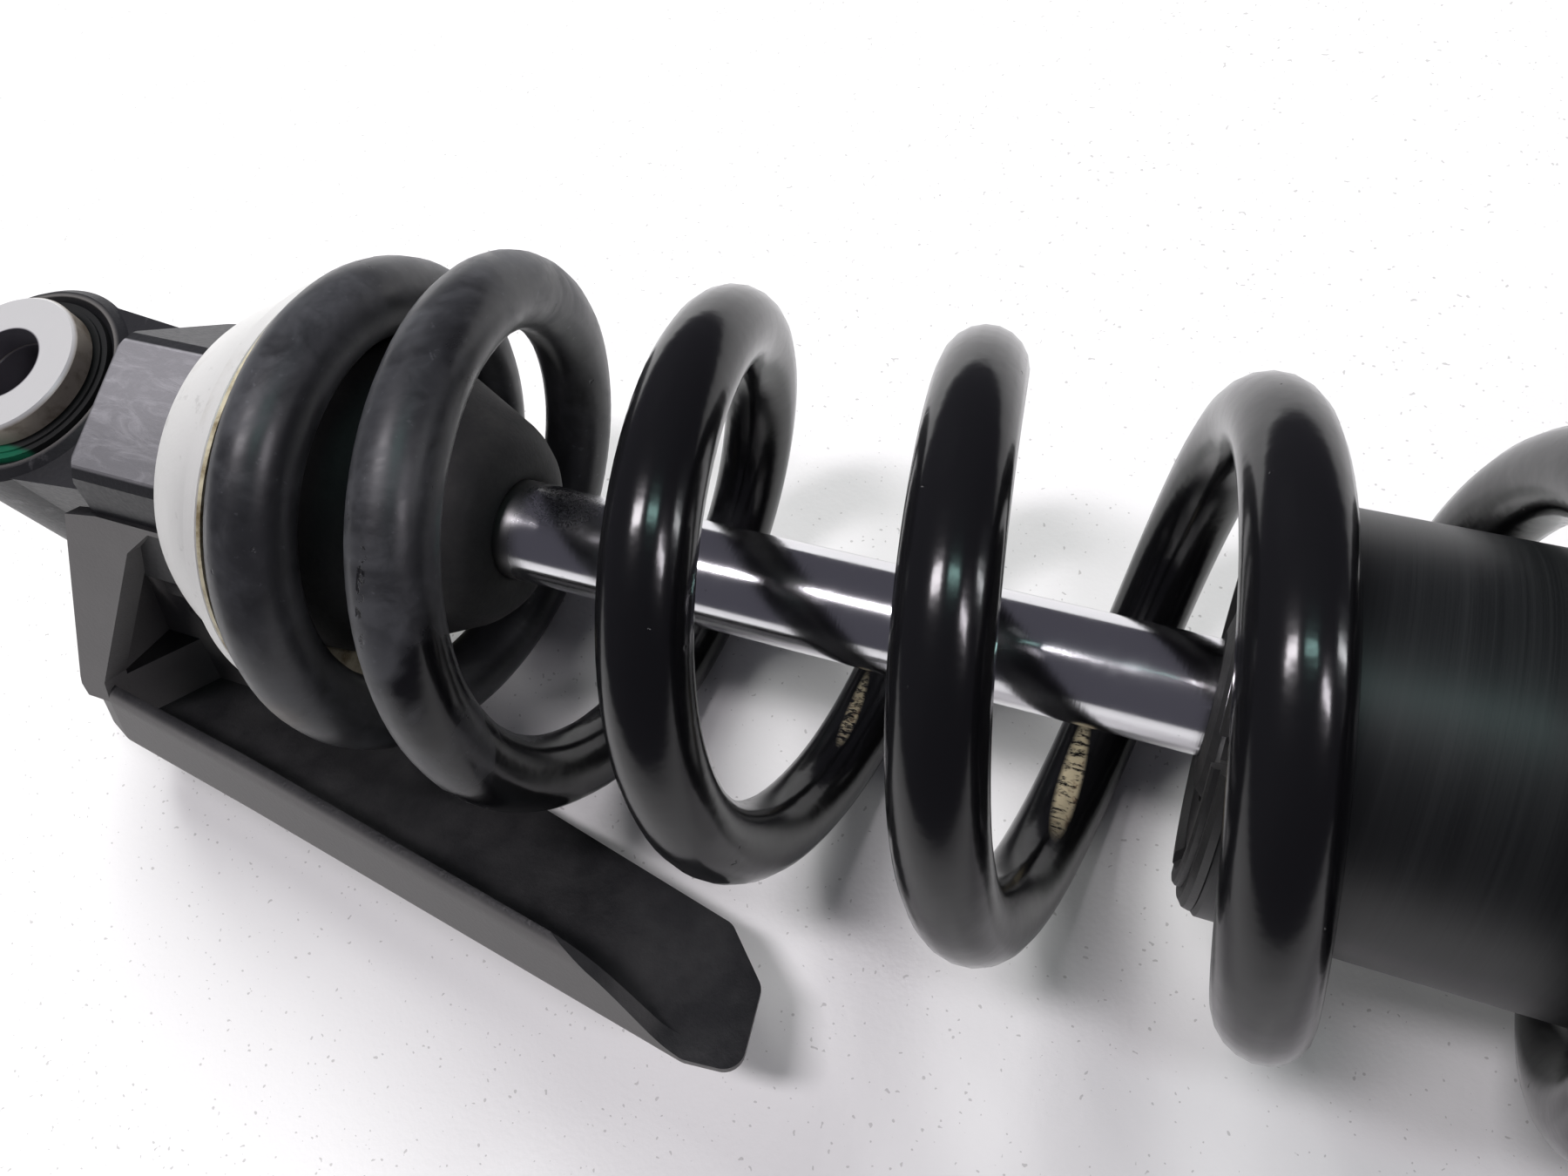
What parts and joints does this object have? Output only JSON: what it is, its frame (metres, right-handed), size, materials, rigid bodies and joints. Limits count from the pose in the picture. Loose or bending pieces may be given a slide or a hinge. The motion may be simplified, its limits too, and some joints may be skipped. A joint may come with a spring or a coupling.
{
  "type": "rear shock absorber",
  "caption": "Coil-over rear shock absorber: black coil spring over a monotube gas damper, chrome rod with bump stop, splash guard, bearing eyes and a screw preload collar.",
  "frame": {"origin": "centre of the lower eye's bore, on the shock axis", "axes": "+X along the shock from the lower eye to the upper eye, +Z along both mounting bores, up when the shock lies on its side"},
  "size_m": [0.4264, 0.0961, 0.0753],
  "materials": {
    "black_anodised": "anodised, fine turned brushing",
    "black_forging": "anodised forging, machined flats",
    "spring_lacquer": "gloss black powder coat",
    "satin_aluminium": "clear anodised, satin",
    "turned_aluminium": "turned",
    "chrome_rod": "polished hard chrome",
    "black_rubber": "matte",
    "green_seal": "satin",
    "ground_steel": "ground",
    "plain_steel": "zinc plated",
    "guard_plastic": "grained, moulded",
    "valve_brass": "plain",
    "bush_bronze": "sintered",
    "washer_nylon": "translucent, aged"
  },
  "bodies": {
    "damper": {"damper_tube": "black_anodised", "end_cap": "black_anodised", "seal_head": "turned_aluminium", "rod_guide_bush": "bush_bronze", "oil_seal": "black_rubber", "wiper_seal": "black_rubber", "seal_head_oring": "black_rubber", "seal_head_circlip": "plain_steel", "top_cap": "black_anodised", "top_cap_oring": "black_rubber", "gas_valve": "valve_brass", "valve_cap": "guard_plastic", "upper_spring_seat": "satin_aluminium", "upper_bearing_shell": "ground_steel", "upper_bearing_needles": "ground_steel", "upper_seal_near": "green_seal", "upper_seal_far": "green_seal"},
    "rod": {"piston_rod": "chrome_rod", "lower_mount": "black_forging", "rod_lock_nut": "plain_steel", "lower_spring_seat": "satin_aluminium", "seat_washer": "washer_nylon", "bump_stop_washer": "plain_steel", "bump_stop": "black_rubber", "top_out_bumper": "black_rubber", "valve_backing_plate": "plain_steel", "compression_shims": "plain_steel", "piston": "turned_aluminium", "piston_ring": "washer_nylon", "rebound_shims": "plain_steel", "piston_nut": "plain_steel", "spring": "spring_lacquer", "splash_guard": "guard_plastic", "guard_screws": "plain_steel", "lower_bearing_shell": "ground_steel", "lower_bearing_needles": "ground_steel", "lower_seal_near": "green_seal", "lower_seal_far": "green_seal"},
    "lower_bush": {"lower_sleeve": "ground_steel", "lower_collar_near": "ground_steel", "lower_collar_far": "ground_steel"},
    "upper_bush": {"upper_sleeve": "ground_steel", "upper_collar_near": "ground_steel", "upper_collar_far": "ground_steel"},
    "preload_collar": {"preload_collar": "black_anodised"},
    "lock_ring": {"preload_lock_ring": "black_anodised"},
    "floating_piston": {"floating_piston": "turned_aluminium", "floating_piston_oring": "black_rubber"}
  },
  "joints": [
    {"name": "compression", "type": "slide", "parent": "damper", "child": "rod", "axis": [1, 0, 0], "range_m": [0, 0.09], "stiffness_N_per_m": 70000, "springref_m": -0.008, "deforming": ["spring"]},
    {"name": "lower_bearing", "type": "hinge", "parent": "rod", "child": "lower_bush", "pos_m": [0, 0, 0], "axis": [0, 0, 1], "continuous": true},
    {"name": "upper_bearing", "type": "hinge", "parent": "damper", "child": "upper_bush", "pos_m": [0.392, 0, 0], "axis": [0, 0, 1], "continuous": true},
    {"name": "preload_turn", "type": "hinge", "parent": "damper", "child": "preload_collar", "pos_m": [0.25, 0, 0], "axis": [1, 0, 0], "continuous": true},
    {"name": "lock_ring_turn", "type": "hinge", "parent": "damper", "child": "lock_ring", "pos_m": [0.26, 0, 0], "axis": [1, 0, 0], "continuous": true},
    {"name": "gas_piston_slide", "type": "slide", "parent": "damper", "child": "floating_piston", "axis": [1, 0, 0], "range_m": [0, 0.011]}
  ],
  "couplings": [
    {"joint": "gas_piston_slide", "follows": "compression", "ratio": 0.11111}
  ]
}
